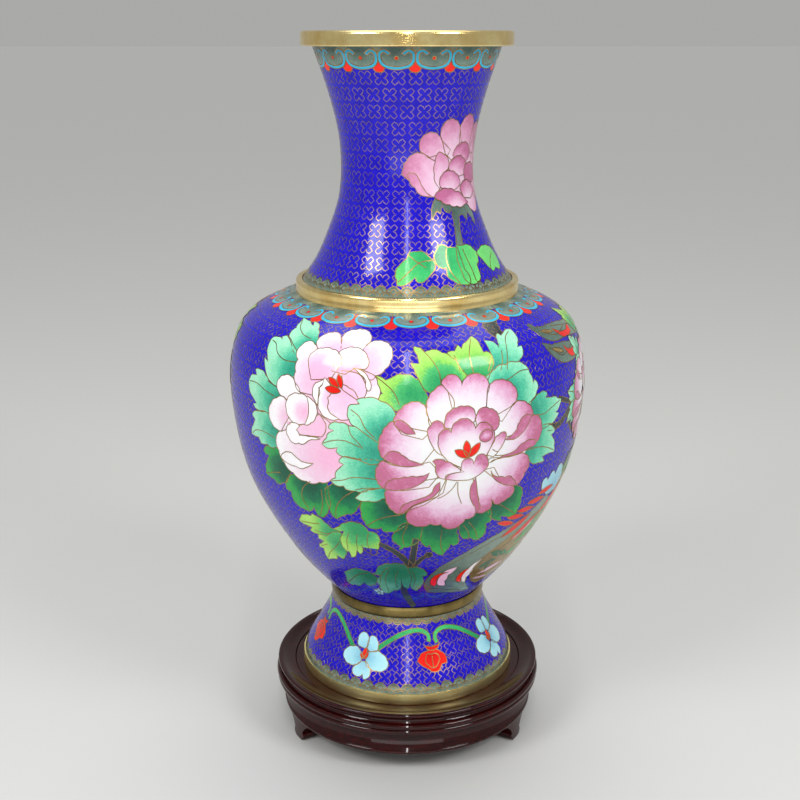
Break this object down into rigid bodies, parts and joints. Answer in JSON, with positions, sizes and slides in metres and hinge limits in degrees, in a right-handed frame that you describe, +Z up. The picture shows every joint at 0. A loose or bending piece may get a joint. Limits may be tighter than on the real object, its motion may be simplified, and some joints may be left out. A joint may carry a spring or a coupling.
{
  "type": "cloisonne vase",
  "caption": "Tall baluster vase of enamelled copper with brass rings, a long waisted neck and a flared foot, standing in the recess of a round three-footed rosewood stand.",
  "frame": {"origin": "on the table under the centre of the stand, at the middle of the underside of the whole object", "axes": "+Z up along the vase's axis; -Y towards the viewer, with the main peonies in front; +X to the viewer's right"},
  "size_m": [0.2094, 0.2094, 0.418],
  "materials": {
    "rosewood": "dark red-brown lacquered rosewood, high gloss",
    "brass": "polished yellow brass, satin on the waist band",
    "copper": "plain spun copper, hidden under the enamel",
    "cobalt_enamel": "cobalt blue cloisonne enamel, ground and polished",
    "border_enamel": "grey-green cloisonne enamel, ground and polished",
    "lining_enamel": "plain blue counter-enamel, unpolished"
  },
  "bodies": {
    "stand": {"stand_board": "rosewood", "stand_rim_ring": "rosewood", "stand_bead_ring": "rosewood", "stand_apron_ring": "rosewood", "stand_foot_left": "rosewood", "stand_foot_right": "rosewood", "stand_foot_back": "rosewood", "stand_foot_dowels": "rosewood", "stand_ring_dowels": "rosewood"},
    "vase": {"rim_ring": "brass", "shoulder_ring": "brass", "waist_ring": "brass", "foot_ring": "brass", "neck_copper_upper": "copper", "neck_copper_lower": "copper", "body_copper_shoulder": "copper", "body_copper_upper": "copper", "body_copper_middle": "copper", "body_copper_lower": "copper", "body_copper_base": "copper", "foot_copper": "copper", "base_plate": "copper", "neck_ground_enamel": "cobalt_enamel", "body_ground_enamel": "cobalt_enamel", "foot_ground_enamel": "cobalt_enamel", "neck_cloud_enamel": "border_enamel", "neck_scale_enamel": "border_enamel", "body_cloud_enamel": "border_enamel", "foot_upper_scale_enamel": "border_enamel", "foot_lower_scale_enamel": "border_enamel", "neck_lining": "lining_enamel", "body_lining": "lining_enamel", "foot_lining": "lining_enamel", "base_lining": "lining_enamel", "base_back_enamel": "lining_enamel"}
  },
  "joints": [
    {"name": "vase_lift", "type": "slide", "parent": "stand", "child": "vase", "axis": [0, 0, 1], "range_m": [0, 0.08]}
  ]
}
